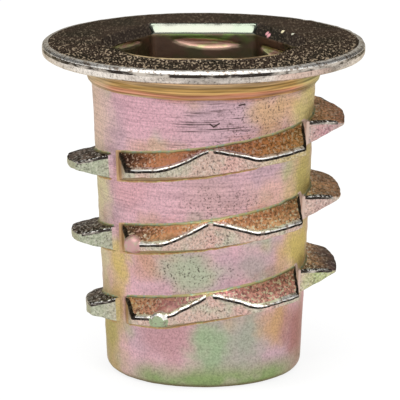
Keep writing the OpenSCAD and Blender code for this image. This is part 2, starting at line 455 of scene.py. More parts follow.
def finish_of(face):
    """Finish of a face of the wall, from its strip, its height over the body and its way from a gap."""
    rows = sorted(v[row_layer] for v in face.verts)
    strip = STRIPS[min(rows[0], len(STRIPS) - 1)] if rows[-1] - rows[0] <= ROWS_OF_STRIP else "body"
    lift = sum(v[lift_layer] for v in face.verts) / len(face.verts)
    angle, z = place_of(face)
    # Positive towards the lobe, negative towards the tooth
    off = min((side * turn_from(gap, angle) for side, gap in GAPS), key=abs)
    on_right = face.calc_center_median().x >= 0
    tooth_top = "upper_flank" if on_right else "left_tooth_top"
    if lift <= PROUD_ENOUGH:
        on_thread = LOWER_FADE < sweep_at(angle, z) < THREAD_SWEEP - UPPER_FADE
        strip_from, strip_to = STRIP_SPANS[on_right]
        in_gap = strip != "body" and on_thread and strip_from < off < strip_to
        return "parting_strip" if in_gap else "turned_body"
    # painted shade line along a lobe's end edge
    if strip == "edge" and 0 < off < LOBE_WALL_SPAN:
        return "edge_shade"
    if strip in ("land", "under_edge") and 0 < off < END_WALL_SPAN:
        return "parting_strip"
    if strip in ("edge", "shade") and off > LOBE_WALL_SPAN and lift < DIP_LIFT:
        return "root_line" if strip == "edge" else "crest_face"
    # on a tooth's wall the edge gets painted glints and painted shade, and the strip under it painted shade
    if strip in ("edge", "shade") and off < 0:
        at_wall, at_tip = ("tooth_edge", tooth_top) if strip == "edge" else ("rim_shade", "crest_face")
        return at_wall if lift < TIP_LIFT else at_tip
    return tooth_top if strip == "upper" and off < 0 else STRIP_FINISH[strip]


for face in casting.faces:
    paint(face, finish_of(face))
print("finishes on the wall:", len({face.material_index for face in casting.faces}))

# %% [markdown]
# ## The casting pips
# Two round pips stand on the left of the front lobes, where the die's ejector pins or vents were. The wall
# gets finer there, and each point moves out to a small dome with a steep skirt. The lower pip is almost
# flat in its lower half, and its upper rim gets a painted highlight.

# %% Raise the casting pips
PIP_SKIRT, PIP_RIM, RIM_FROM, SKIRT_SLOPE = 1.45, 0.66, 0.25, 3.5  # shares of the radius, the skirt's slope
MOUND, PIP_CUTS = 0.13, 2  # height of the lower pip's lower half, and times that the wall is made finer


def pip_aside(angle, z, pip):
    """Distance from a pip's middle, seen along the radius."""
    pip_angle, pip_r, pip_z = pip
    return hypot(pip_r * radians(turn_from(pip_angle, angle)), z - pip_z)


for (left, turn, drop), finish in zip(PIPS, ("middle_pip", "lower_pip")):
    worn = finish == "lower_pip"
    crest = crest_z(360 * turn + 270 - left - THREAD_START)
    pip_r, pip_z = body_r(crest) + LEFT_DEPTH + PIP_PROUD - PIP_R, crest + LOBE_HEIGHTS[1] - drop
    pip = 270 - left, pip_r, pip_z
    for _ in range(PIP_CUTS):
        around = [f for f in casting.faces if pip_aside(*place_of(f), pip) < PIP_SKIRT * PIP_R]
        edges = list(dict.fromkeys(e for f in around for e in f.edges))
        bmesh.ops.subdivide_edges(casting, edges=edges, cuts=1, use_grid_fill=True)
    for v in casting.verts:
        angle, r, z = place(v)
        aside = pip_aside(angle, z, pip)
        if aside < PIP_SKIRT * PIP_R:
            dome = PIP_R * sqrt(max(1 - (aside / PIP_R) ** 4, 0)) - SKIRT_SLOPE * max(aside - PIP_R, 0)
            dome_r = min(pip_r + dome, r + MOUND) if worn and z < pip_z else pip_r + dome
            put(v, angle, max(r, dome_r), z)
    for face in casting.faces:
        angle, z = place_of(face)
        aside = pip_aside(angle, z, pip)
        if aside < PIP_R:
            # the lower pip's upper rim gets a painted highlight
            rim = worn and aside > PIP_RIM * PIP_R and z > pip_z + RIM_FROM * PIP_R
            paint(face, "pip_rim" if rim else finish)
print("wall with its pips:", len(casting.faces), "faces")

# %% [markdown]
# ## Drawing out the rest
# From the lower circle the mesh is extruded ring by ring round the end and up into the bore, and from the
# upper one over the collar, the flange and the mouth, and down the hexagon. An outline function gives each
# ring its radius and height, so round and six-sided rings are drawn alike.

# %% Extrude the plain end
EDGE_SOFT, END_STEPS = 0.02, 9


def rim_edges(z):
    """The open edges that lie at one height."""
    return [e for e in casting.edges if e.is_boundary and all(abs(v.co.z - z) < WELD for v in e.verts)]


def draw_ring(ring, outline, finish):
    """Extrudes an open ring of edges, and puts it where outline(angle) says, as radius and height."""
    grown = bmesh.ops.extrude_edge_only(casting, edges=ring)["geom"]
    for v in only(grown, bmesh.types.BMVert):
        angle = place(v)[0]
        put(v, angle, *outline(angle))
    for face in only(grown, bmesh.types.BMFace):
        paint(face, finish)
    return only(grown, bmesh.types.BMEdge)


def draw_rings(ring, points, finish):
    """Draws a ring out through several round outlines."""
    for point in points:
        ring = draw_ring(ring, lambda angle: point, finish)
    return ring


def arc(r, z, radius, first, last, count):
    """Points of an arc about r, z, from one direction in degrees to another."""
    steps = [radians(first + (last - first) * i / count) for i in range(count + 1)]
    return [(r + radius * cos(s), z + radius * sin(s)) for s in steps]


end_x = BODY_END_R + END_ROUND * BODY_SLOPE - END_ROUND / cos(BODY_LEAN)
end_curve = arc(end_x, END_ROUND, END_ROUND, -degrees(BODY_LEAN), -90, END_STEPS)
ring = draw_rings(rim_edges(LOWER_CUT), end_curve, "turned_body")
inner_r = BORE_R + BORE_CHAMFER
end_edge = [
    (inner_r + 3 * EDGE_SOFT, 0),
    (inner_r + EDGE_SOFT, EDGE_SOFT / 2),
    (inner_r - EDGE_SOFT, 1.5 * EDGE_SOFT),
    (BORE_R + 2.5 * EDGE_SOFT, BORE_CHAMFER - 2.5 * EDGE_SOFT),
]
lower_ring = draw_rings(ring, end_edge, "crest_face")
print("plain end drawn in to the bore's chamfer,", len(lower_ring), "edges")

# %% Extrude the collar and the flange
UNDER_FILLET, EDGE_BREAK, RIM_BAND, RIM_EDGE_W = 0.16, 0.04, 0.09, 0.08
LEAD_FOOT, LEAD_HEAD = ((-0.004, -0.07), (0.03, 0.04)), ((-0.04, -0.06), (0, 0.06))  # at the cone's corners
FILLET_DROP, UNDER_FLANGE_R, FLANGE_RINGS = 0.45, 6.0, (6.7, 6.3, 5.9, 5.5)
FILLET_STEPS, LOWER_STEPS, TOP_STEPS = 4, 5, 6

rim_x = FLANGE_R - RIM_ROUND
lead = [(BODY_TOP_R + r, BODY_TOP_Z + z) for r, z in LEAD_FOOT]
lead += [((BODY_TOP_R + COLLAR_R) / 2, (BODY_TOP_Z + COLLAR_END_Z) / 2)]
collar = [(COLLAR_R + r, COLLAR_END_Z + z) for r, z in LEAD_HEAD] + [(COLLAR_R, COLLAR_TOP_Z - FILLET_DROP)]
collar += arc(COLLAR_R + UNDER_FILLET, COLLAR_TOP_Z - UNDER_FILLET, UNDER_FILLET, 180, 90, FILLET_STEPS)
collar += [(UNDER_FLANGE_R, COLLAR_TOP_Z)]
lower_round = arc(rim_x, COLLAR_TOP_Z + RIM_ROUND, RIM_ROUND, -90, 0, LOWER_STEPS)
upper_round = arc(rim_x, OVERALL_H - RIM_ROUND, RIM_ROUND, 0, 90, TOP_STEPS)
ring = draw_rings(rim_edges(UPPER_CUT), lead, "turned_body")
ring = draw_rings(ring, collar, "gold_collar")
ring = draw_rings(ring, lower_round + [(FLANGE_R, OVERALL_H - RIM_ROUND - RIM_BAND)], "flange_rim")
# a painted shade line under the flange's top edge, then a painted highlight round that edge
ring = draw_rings(ring, upper_round[:2], "rim_shade")
ring = draw_rings(ring, upper_round[2:] + [(rim_x - RIM_EDGE_W, OVERALL_H)], "bright_edge")
ring = draw_rings(ring, [(r, OVERALL_H) for r in FLANGE_RINGS], "flange_top")
print("flange drawn to radius", FLANGE_R)

# %% [markdown]
# ## The drive socket
# The rings go on from the flange's top into the hexagon. A hexagon with rounded corners is just another
# outline that gives a radius for each angle, so the same extrusion draws it. The tap for the bore also cut
# into the flats, and left a short groove in the middle of each flat at every turn.

# %% Outlines of the socket
TAP_PITCH, TAP_R, TAP_PHASE, TAP_SHIFT, TAP_SLOPES = 1.411, 4.34, 0.3, 0.16, (1.25, 2.2)
MOUTH_AF, LIP_W, LIP_BEAD, FAR_GAIN = HEX_AF + 2 * HEX_CHAMFER, 0.09, 0.04, 0.45


def hex_r(angle, af):
    """Radius of the rounded hexagon, whose flats face 90 and 270 degrees."""
    half = af / 2
    off = radians(abs(angle % 60 - 30))
    if tan(off) < (half - HEX_CORNER_R) * tan(pi / 6) / half:
        return half / cos(off)
    middle = (half - HEX_CORNER_R) / cos(pi / 6)
    aside = middle * sin(pi / 6 - off)
    return middle * cos(pi / 6 - off) + sqrt(HEX_CORNER_R**2 - aside**2)


def tapped_flat(angle, z):
    """Radius of the socket's wall with the tap's grooves in it."""
    phase = (z / TAP_PITCH - angle / 360 - TAP_PHASE) % 1
    slope = TAP_SLOPES[phase > 0.5]
    groove = TAP_R + TAP_SHIFT * cos(radians(angle)) - abs(phase - 0.5) * TAP_PITCH * slope
    return max(hex_r(angle, HEX_AF), groove)


def mouth_r(angle):
    """Radius of the mouth's edge: the chamfered hexagon, trimmed round at its corners, less so behind."""
    return min(hex_r(angle, MOUTH_AF), MOUTH_R + FAR_GAIN * max(0, sin(radians(angle))))


def bead_z(angle):
    """Top of the thin bead that catches the light on the near lip."""
    return OVERALL_H + LIP_BEAD * max(0, -sin(radians(angle)))


def along_chamfer(angle, share):
    """A point some way down the chamfer, from the short wall under the mouth to the top of the flats."""
    r = mouth_r(angle) - EDGE_BREAK
    z = OVERALL_H - MOUTH_AF / 2 + r * cos(radians(abs(angle % 60 - 30)))
    z = max(CHAMFER_FOOT_Z + 2 * EDGE_BREAK, min(OVERALL_H - EDGE_BREAK, z))
    return r + share * (min(hex_r(angle, HEX_AF), r) - r), z + share * (CHAMFER_FOOT_Z - z)


print("mouth at a flat and at a near corner:", round(mouth_r(270), 2), round(mouth_r(300), 2))

# %% Extrude the hexagon
CHAMFER_SHARES, SOCKET_ROWS, FLOOR_R = (0, 0.12, 0.9), 40, 3.96
WALL_FOOT, EDGE_IN, EDGE_UP = 0.1, 0.03, 0.02  # height where the wall ends, and the broken edge of the floor
SIDE_CHAMFER_X, NEAR_LIP_Y = 2.45, -2.6

socket_top = CHAMFER_FOOT_Z - EDGE_BREAK
socket_drop = socket_top - HEX_FLOOR_Z - WALL_FOOT
ring = draw_ring(ring, lambda t: (mouth_r(t) + LIP_W, OVERALL_H), "flange_top")
ring = draw_ring(ring, lambda t: (mouth_r(t) + LIP_W - LIP_BEAD, bead_z(t)), "mouth_edge")
ring = draw_ring(ring, lambda t: (mouth_r(t) + EDGE_BREAK / 2, bead_z(t)), "mouth_edge")
ring = draw_ring(ring, lambda t: (mouth_r(t), OVERALL_H), "mouth_edge")
for share in CHAMFER_SHARES:
    ring = draw_ring(ring, lambda t: along_chamfer(t, share), "mouth_chamfer")
ring = draw_ring(ring, lambda t: (hex_r(t, HEX_AF), socket_top), "mouth_chamfer")
for i in range(1, SOCKET_ROWS + 1):
    z = socket_top - socket_drop * i / SOCKET_ROWS
    ring = draw_ring(ring, lambda t: (tapped_flat(t, z), z), "socket_wall")
ring = draw_ring(ring, lambda t: (hex_r(t, HEX_AF) - EDGE_IN, HEX_FLOOR_Z + EDGE_UP), "socket_wall")
upper_ring = draw_rings(ring, [(FLOOR_R, HEX_FLOOR_Z)], "socket_wall")
# the side chamfers and the far part of the lip get the flange top's painted shade, so the painted highlight
# stays on the near lip
for face in casting.faces:
    middle, finish = face.calc_center_median(), FINISHES[face.material_index]
    side_chamfer = finish == "mouth_chamfer" and abs(middle.x) > SIDE_CHAMFER_X
    if side_chamfer or (finish == "mouth_edge" and middle.y > NEAR_LIP_Y):
        paint(face, "flange_top")
print("socket drawn to its floor,", len(casting.faces), "faces so far")

# %% [markdown]
# ## The tapped bore
# The bolt's thread is wound in the same way as the wood thread, with its own pitch: one turn is spun,
# stacked and welded. It runs out before the plain end, where the wall is too thin for its grooves. A bridge
# of faces then closes the joint between the bore and the rings at both of its ends.

# %% Wind the bore
GROOVE_R, BORE_COLUMNS, BORE_TURNS, RUN_OUT, BORE_DROP = 3.95, 120, 9, (0.5, 2.2), 0.12
BORE_TOP, BORE_LOW = HEX_FLOOR_Z - BORE_DROP, BORE_CHAMFER
CREST_PART, GROOVE_PART = 0.25, 0.125  # shares of the pitch that are flat
FOOT_PART, FOOT_DEPTH, HEAD_PART, HEAD_DEPTH = 0.07, 0.16, 0.05, 0.88  # rounding of a flank's two ends

groove_from = CREST_PART + (1 - CREST_PART - GROOVE_PART) / 2
flank_up = [(CREST_PART, 0), (CREST_PART + FOOT_PART, FOOT_DEPTH), (groove_from - HEAD_PART, HEAD_DEPTH)]
flank_up += [(groove_from, 1)]
flank_down = [(1 + CREST_PART - h, d) for h, d in reversed(flank_up)]
bore = bmesh.new()
groove_depth = GROOVE_R - BORE_R
column = [
    bore.verts.new((BORE_R + groove_depth * d, 0, TAP_PITCH * (h - 1)))
    for h, d in [(0, 0)] + flank_up + flank_down
]
wind(bore, column, TAP_PITCH, BORE_COLUMNS, BORE_TURNS)
for v in bore.verts:
    angle, r, z = place(v)
    share = min(1, max(0, (z - RUN_OUT[0]) / (RUN_OUT[1] - RUN_OUT[0])))
    put(v, angle, BORE_R + (r - BORE_R) * share, z)
for z, direction in ((BORE_LOW, -1), (BORE_TOP, 1)):
    cut_off(bore, z, direction)
for face in bore.faces:
    paint(face, "bore_thread")
bore_mesh = bpy.data.meshes.new("bore_winding")
bore.to_mesh(bore_mesh)
bore.free()
casting.from_mesh(bore_mesh)
bpy.data.meshes.remove(bore_mesh)
print("bore wound; the casting has", len(casting.faces), "faces")

# %% [markdown]
# A cast surface is never quite true. A slow wobble of about a hundredth of a millimetre, and of three on
# the crests, bends the reflections as they bend on the real part. The noise is given a seed, so that every
# run is the same.

# %% Close the joints, turn the faces outwards and wobble the surface
WOBBLES, CREST_WOBBLE, WOBBLE_SEED = ((0.012, 0.9), (0.006, 4.0)), (0.03, 2.6), 7  # size and spread

for at, ring in ((BORE_LOW, lower_ring), (BORE_TOP, upper_ring)):
    for face in bmesh.ops.bridge_loops(casting, edges=ring + rim_edges(at))["faces"]:
        paint(face, "bore_thread")
open_edges = [e for e in casting.edges if e.is_boundary]
bmesh.ops.recalc_face_normals(casting, faces=casting.faces[:])
noise.seed_set(WOBBLE_SEED)
for v in casting.verts:
    wobbles = WOBBLES + ((CREST_WOBBLE,) if v[lift_layer] > PROUD_ENOUGH else ())
    v.co += sum((size * noise.noise_vector(v.co * spread) for size, spread in wobbles), Vector())
bmesh.ops.scale(casting, vec=(MM, MM, MM), verts=casting.verts[:])
print("open edges left:", len(open_edges))

# %% Make the object
for face in casting.faces:
    face.smooth = True
mesh = bpy.data.meshes.new("insert_casting")
casting.to_mesh(mesh)
casting.free()
insert = bpy.data.objects.new("insert_casting", mesh)
scene.collection.objects.link(insert)
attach(insert, "root")
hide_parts("insert_body")
even = insert.modifiers.new("even_shading", "WEIGHTED_NORMAL")
even.keep_sharp = False
mesh.calc_loop_triangles()
print("insert_casting:", len(mesh.vertices), "points,", len(mesh.loop_triangles), "triangles")

# %% [markdown]
# ## Node helpers and shared effects
# The plated skin is what makes this part: a thin chromate film on zinc that shimmers from pink to gold and
# green, over tool marks on the body and a frosted, sparkling grain where the die left it rough. Effects
# that several finishes share are node groups with named sockets. They read the position in millimetres, so
# that every size in them is a real one.

# %% Helpers that make nodes
VALUE_OPERATIONS = ("LENGTH", "DISTANCE", "DOT_PRODUCT")


def add(tree, kind, values=None, **settings):
    """A node with its settings, and its inputs set or linked by name or number."""
    node = tree.nodes.new(kind)
    for key, value in settings.items():
        setattr(node, key, value)
    for key, value in (values or {}).items():
        if isinstance(value, bpy.types.NodeSocket):
            tree.links.new(value, node.inputs[key])
        else:
            node.inputs[key].default_value = value
    return node


def new_group(name, inputs, outputs):
    """An empty shader group with named sockets, and those sockets inside it."""
    group = bpy.data.node_groups.new(name, "ShaderNodeTree")
    for in_out, sockets in (("INPUT", inputs), ("OUTPUT", outputs)):
        for socket, kind in sockets.items():
            group.interface.new_socket(name=socket, in_out=in_out, socket_type="NodeSocket" + kind)
    return group, group.nodes.new("NodeGroupInput").outputs, group.nodes.new("NodeGroupOutput").inputs


def stretch(tree, vector, scale=(1, 1, 1), shift=(0, 0, 0)):
    """The vector stretched along its axes and shifted."""
    values = {"Vector": vector, "Scale": scale, "Location": shift}
    return add(tree, "ShaderNodeMapping", values).outputs["Vector"]


def xyz(tree, vector):
    """The three parts of a vector, by name."""
    return add(tree, "ShaderNodeSeparateXYZ", {0: vector}).outputs


def maths(tree, operation, a, b=0.0, c=0.0):
    """A sum with up to three values."""
    return add(tree, "ShaderNodeMath", {0: a, 1: b, 2: c}, operation=operation).outputs["Value"]


def vectors(tree, operation, *inputs):
    """A sum with vectors, which gives a vector, or a value for a length, a distance or a dot product."""
    node = add(tree, "ShaderNodeVectorMath", dict(enumerate(inputs)), operation=operation)
    return node.outputs["Value" if operation in VALUE_OPERATIONS else "Vector"]


print("node helpers ready")

# %% Helpers for values and colours
SHADE_FROM = (0.3, 0.7)  # the usual range of the noise


def cloud(tree, vector, scale, detail=2.0, rough=0.5):
    """Soft noise, about 0.5 on average."""
    values = {"Vector": vector, "Scale": scale, "Detail": detail, "Roughness": rough}
    return add(tree, "ShaderNodeTexNoise", values).outputs["Fac"]


def ramp(tree, value, low, high, to_low=0.0, to_high=1.0):
    """A value carried smoothly from one range to another."""
    values = {"Value": value, "From Min": low, "From Max": high, "To Min": to_low, "To Max": to_high}
    return add(tree, "ShaderNodeMapRange", values, interpolation_type="SMOOTHSTEP").outputs["Result"]


def times(tree, a, b):
    """The product of two values, as for a mask with its strength."""
    return maths(tree, "MULTIPLY", a, b)


def linear(r, g, b):
    """A colour as it looks on screen, 0 to 255, as the linear values that nodes take, by the sRGB curve."""
    shares = [c / 255 for c in (r, g, b)]
    return tuple(s / 12.92 if s < 0.04045 else ((s + 0.055) / 1.055) ** 2.4 for s in shares) + (1,)


def blend(tree, share, a, b, mode="MIX"):
    """Two colours mixed by a share."""
    node = add(tree, "ShaderNodeMix", {0: share, 6: a, 7: b}, data_type="RGBA", blend_type=mode)
    return node.outputs[2]


def tint(tree, mask, colour, other):
    """A colour that turns into a screen colour where a mask is 1."""
    return blend(tree, mask, colour, linear(*other))


def two_tone(tree, value, low, high, main, other):
    """A screen colour that turns into another while a value goes from low to high."""
    return tint(tree, ramp(tree, value, low, high), linear(*main), other)


def shade(tree, colour, value, low, high):
    """A colour made darker or lighter by a noise value, from low to high times as bright."""
    return blend(tree, 1.0, colour, ramp(tree, value, *SHADE_FROM, low, high), "MULTIPLY")


print("white is", linear(255, 255, 255))

# %% [markdown]
# A colour patch is a soft-edged blob about a place on the part. Its edge wanders with noise, so that
# several of them together read as one drifting film and not as spots.

# %% Group: a patch of film colour
SWIRL, WANDER, PATCH_EDGE = {"Scale": 0.9, "Detail": 3.0}, 1.6, (1.25, 0.25)

patch_group, given, result = new_group(
    "film_patch", {"Position": "Vector", "Centre": "Vector", "Reach": "Vector"}, {"Mask": "Float"}
)
swirl = add(patch_group, "ShaderNodeTexNoise", {"Vector": given["Position"], **SWIRL}).outputs["Color"]
wander = vectors(patch_group, "SUBTRACT", swirl, (0.5, 0.5, 0.5))
moved = vectors(patch_group, "MULTIPLY_ADD", wander, (WANDER, WANDER, WANDER), given["Position"])
away = vectors(patch_group, "SUBTRACT", moved, given["Centre"])
length = vectors(patch_group, "LENGTH", vectors(patch_group, "DIVIDE", away, given["Reach"]))
patch_group.links.new(ramp(patch_group, length, *PATCH_EDGE), result["Mask"])
print("group:", patch_group.name)

# %% [markdown]
# Turning leaves fine rings that break into short dark dashes where the tool chattered. Noise squeezed along
# the axis gives both: a threshold keeps the deepest strokes as dashes, and the rest is the height of the
# rings.

# %% Group: tool marks round the axis
DASH_EDGE = (0.4, 0.33)

marks_group, given, result = new_group(
    "tool_marks",
    {"Position": "Vector", "Fineness": "Float", "Around": "Float"},
    {"Dashes": "Float", "Rings": "Float"},
)
parts = {"X": given["Around"], "Y": given["Around"], "Z": given["Fineness"]}
squeeze = add(marks_group, "ShaderNodeCombineXYZ", parts).outputs["Vector"]
squeezed = vectors(marks_group, "MULTIPLY", given["Position"], squeeze)
strokes = cloud(marks_group, squeezed, 1.0, detail=3.0, rough=0.6)
marks_group.links.new(ramp(marks_group, strokes, *DASH_EDGE), result["Dashes"])
marks_group.links.new(strokes, result["Rings"])
print("group:", marks_group.name)

# %% [markdown]
# The frosted grain is a field of tiny facets. Some of them flash and some stay black, so the group gives a
# mask of bright specks, which are painted glints, one of dark pits and a height for the bump.

# %% Group: frosted casting grain
SPECK_SHIFT, SPECK_EDGE, PIT_EDGE = (7.3, 2.1, 4.7), (0.55, 0.65), (0.43, 0.33)

grain_group, given, result = new_group(
    "casting_grain",
    {"Position": "Vector", "Scale": "Float"},
    {"Sparkle": "Float", "Pits": "Float", "Height": "Float"},
)
facets = cloud(grain_group, given["Position"], given["Scale"], rough=0.7)
shifted = stretch(grain_group, given["Position"], shift=SPECK_SHIFT)
specks = cloud(grain_group, shifted, given["Scale"], detail=1.0)
grain_group.links.new(ramp(grain_group, specks, *SPECK_EDGE), result["Sparkle"])
grain_group.links.new(ramp(grain_group, facets, *PIT_EDGE), result["Pits"])
grain_group.links.new(facets, result["Height"])
print("group:", grain_group.name)

# %% [markdown]
# ## The finishes
# Each finish is one metal skin with its own colours, placed on the faces that were marked while the mesh
# was drawn. A starting helper makes the shader and the position in millimetres, and the constant values are
# set on the shader's own sockets. The edge tint keeps the film's colour at glancing angles, where plain
# metal would turn white. A closing helper links the colour and roughens the surface.

# %% Helpers for the finishes
FILM_EDGE = (0.75, 0.68, 0.55, 1)


def start_finish(name, rough, edge=FILM_EDGE):
    """A metal material, its position in millimetres and its shader."""
    material = bpy.data.materials.new(name)
    material.use_nodes = True
    tree = material.node_tree
    shader = tree.nodes["Principled BSDF"]
    shader.inputs["Metallic"].default_value = 1.0
    shader.inputs["Roughness"].default_value = rough
    shader.inputs["Specular Tint"].default_value = edge
    position = stretch(tree, add(tree, "ShaderNodeTexCoord").outputs["Object"], (1 / MM, 1 / MM, 1 / MM))
    mesh.materials.append(material)
    return tree, position, shader


def end_finish(tree, shader, colour, height, strength, depth=0.03):
    """Links the colour, and roughens the normal by a height whose range is depth millimetres."""
    tree.links.new(colour, shader.inputs["Base Color"])
    bump = add(tree, "ShaderNodeBump", {"Strength": strength, "Distance": depth * MM, "Height": height})
    tree.links.new(bump.outputs["Normal"], shader.inputs["Normal"])


def add_grain(tree, position, scale):
    """The frosted grain's sparkle, pits and height."""
    values = {"Position": position, "Scale": scale}
    return add(tree, "ShaderNodeGroup", values, node_tree=grain_group).outputs


def add_marks(tree, position, fineness, around):
    """The tool marks' dashes and rings."""
    values = {"Position": position, "Fineness": fineness, "Around": around}
    return add(tree, "ShaderNodeGroup", values, node_tree=marks_group).outputs


print("finishes to make:", len(FINISHES))

# %% Helpers for places on the part
FRONT_R, FRONT_Y = 4.9, (-0.5, -1.0)


def on_front(degrees_right, z, r=FRONT_R):
    """A place on the body, some degrees to the right of the front."""
    return r * sin(radians(degrees_right)), -r * cos(radians(degrees_right)), z


def patch_at(tree, position, centre, reach):
    """The mask of one patch."""
    values = {"Position": position, "Centre": centre, "Reach": reach}
    return add(tree, "ShaderNodeGroup", values, node_tree=patch_group).outputs["Mask"]


def patch_mask(tree, position, places):
    """One mask for several places, each with its reach in millimetres."""
    mask = 0.0
    for centre, reach in places:
        mask = maths(tree, "MAXIMUM", mask, patch_at(tree, position, centre, reach))
    return mask


def add_patches(tree, position, colour, patches):
    """Film patches mixed over a colour: place, reach in millimetres, colour and strength."""
    for centre, reach, patch_colour, strength in patches:
        mask = times(tree, patch_at(tree, position, centre, reach), strength)
        colour = tint(tree, mask, colour, patch_colour)
    return colour


def spot_mask(tree, position, centre, reach):
    """A small clear spot about a place, as far as reach in millimetres."""
    return ramp(tree, vectors(tree, "DISTANCE", position, centre), reach, reach * 0.5)


def stroke_mask(tree, position, start, end, width):
    """A straight nick on the front, from one x and z to another."""
    along = Vector((end[0] - start[0], 0, end[1] - start[1]))
    from_start = vectors(tree, "SUBTRACT", stretch(tree, position, (1, 0, 1)), (start[0], 0, start[1]))
    dot = vectors(tree, "DOT_PRODUCT", from_start, along / along.length_squared)
    share = add(tree, "ShaderNodeClamp", {"Value": dot}).outputs["Result"]
    away = vectors(tree, "DISTANCE", from_start, vectors(tree, "MULTIPLY", along, share))
    front = ramp(tree, xyz(tree, position)["Y"], *FRONT_Y)
    return times(tree, ramp(tree, away, width, width / 3), front)


print("the front at half height:", on_front(0, OVERALL_H / 2))

# %% [markdown]
# The body was turned, so it has ring marks, and its film drifts from pink through lilac to gold at the
# sides, with green-grey clouds low down in the middle. The patches below sit where the photograph shows
# them, and the drift under them carries on round the back.

# %% Film of the turned body
PINK, LILAC, GOLD = (218, 176, 184), (198, 166, 174), (208, 170, 130)
CLOUD, SUN, ROSE = (178, 182, 158), (208, 184, 118), (214, 162, 176)
CREAM, PEACH, DUSK = (214, 206, 168), (220, 178, 156), (186, 148, 142)
BODY_PATCHES = [
    (on_front(-74, 12.2), (1.0, 2.4, 3.0), (228, 200, 188), 0.9),
    (on_front(-32, 12.6), (2.2, 2.4, 1.2), ROSE, 0.35),
    (on_front(-26, 10.9), (1.5, 2.0, 0.5), PEACH, 0.7),
    (on_front(10, 12.2), (1.5, 2.0, 1.9), LILAC, 0.75),
    (on_front(38, 12.2), (1.1, 2.0, 1.2), GOLD, 0.8),
    (on_front(72, 12.3), (1.0, 2.8, 2.0), (206, 190, 130), 0.95),
    (on_front(-78, 8.9), (0.9, 2.6, 2.0), CREAM, 0.95),
    (on_front(-42, 9.0), (1.3, 2.2, 1.5), (214, 160, 164), 0.5),
    (on_front(6, 8.6), (1.8, 2.0, 1.4), (200, 165, 160), 0.6),
    (on_front(38, 8.6), (1.4, 2.0, 1.2), PEACH, 0.6),
    (on_front(68, 9.0), (1.4, 2.8, 2.2), (186, 172, 104), 0.95),
    (on_front(4, 7.5), (0.5, 1.4, 0.5), CLOUD, 0.8),
    (on_front(-78, 5.7), (0.9, 2.6, 2.2), CREAM, 0.9),
    (on_front(-52, 5.5), (0.7, 1.8, 1.5), SUN, 0.95),
    (on_front(-30, 5.7), (1.0, 1.8, 1.1), (203, 157, 135), 0.9),
    (on_front(-6, 5.4), (1.9, 1.8, 1.1), CLOUD, 1.0),
    (on_front(26, 5.7), (0.9, 1.8, 0.9), (180, 163, 161), 0.9),
    (on_front(42, 5.2), (0.7, 1.6, 0.8), DUSK, 0.6),
    (on_front(66, 5.9), (1.3, 2.8, 1.8), (202, 182, 108), 0.95),
    (on_front(-70, 2.3), (1.5, 2.8, 2.6), (182, 168, 112), 1.0),
    (on_front(-20, 2.3), (1.8, 2.0, 1.4), (192, 147, 151), 0.9),
    (on_front(4, 1.8), (1.3, 1.8, 1.9), (154, 176, 138), 0.9),
    (on_front(24, 2.2), (1.1, 1.8, 1.6), (166, 167, 151), 1.0),
    (on_front(45, 2.8), (1.2, 1.8, 1.3), (199, 160, 122), 1.0),
    (on_front(66, 1.8), (1.2, 2.6, 1.9), (173, 124, 123), 1.0),
]
DRIFTS = (((11, 4, 7), 0.4, CLOUD), ((3, 15, 9), 0.35, GOLD))
MOSS, MOSS_Z, MOSS_X, MOSS_ASIDE = (140, 158, 106), (1.45, 0.45), 0.4, (4.0, 2.6)
RIM_DARK, RIM_DARK_Z = (104, 94, 74), (0.32, 0.04)

tree, position, shader = start_finish("turned_body", rough=0.42)
colour = two_tone(tree, cloud(tree, position, scale=0.33), 0.4, 0.62, PINK, LILAC)
for shift, scale, drift_colour in DRIFTS:
    drift = cloud(tree, stretch(tree, position, shift=shift), scale)
    colour = tint(tree, ramp(tree, drift, 0.55, 0.75), colour, drift_colour)
colour = add_patches(tree, position, colour, BODY_PATCHES)
height = xyz(tree, position)["Z"]
aside = maths(tree, "ABSOLUTE", maths(tree, "SUBTRACT", xyz(tree, position)["X"], MOSS_X))
mottled = ramp(tree, cloud(tree, position, scale=0.8), 0.36, 0.6, 0.7, 1.0)
mossy = times(tree, ramp(tree, height, *MOSS_Z), mottled)
mossy = times(tree, mossy, ramp(tree, aside, *MOSS_ASIDE, 0.3, 1.0))
colour = tint(tree, mossy, colour, MOSS)
colour = tint(tree, ramp(tree, height, *RIM_DARK_Z), colour, RIM_DARK)
print("film of the body:", len(BODY_PATCHES), "patches")

# %% [markdown]
# Over the film lie the marks of making and handling: rings that fade towards the plain end, dashes where
# the tool chattered, dark pits, and three short nicks.

# %% Marks on the turned body
CHATTER = [
    (on_front(4, 12.3), (2.0, 2.4, 1.0)),
    (on_front(2, 10.9), (2.2, 2.4, 0.6)),
    (on_front(8, 8.0), (1.6, 2.4, 0.4)),
]
PITTED = [
    (on_front(30, 12.2), (2.2, 2.4, 1.4)),
    (on_front(12, 11.0), (2.2, 2.4, 0.5)),
    (on_front(10, 8.5), (2.2, 2.4, 0.8)),
    (on_front(-6, 5.4), (2.6, 2.4, 1.0)),
]
NICK_STROKES = [
    ((0.28, 12.22), (0.44, 12.09)),
    ((0.44, 12.09), (0.68, 12.24)),
    ((1.55, 13.02), (1.8, 13.06)),
]
DASH_DARK, PIT_DARK, NICK_DARK, NICK_W = (92, 76, 76), (78, 66, 60), (70, 56, 54), 0.05
RINGED_Z, BROAD_DASH = (6.0, 8.5), (0.46, 0.38)

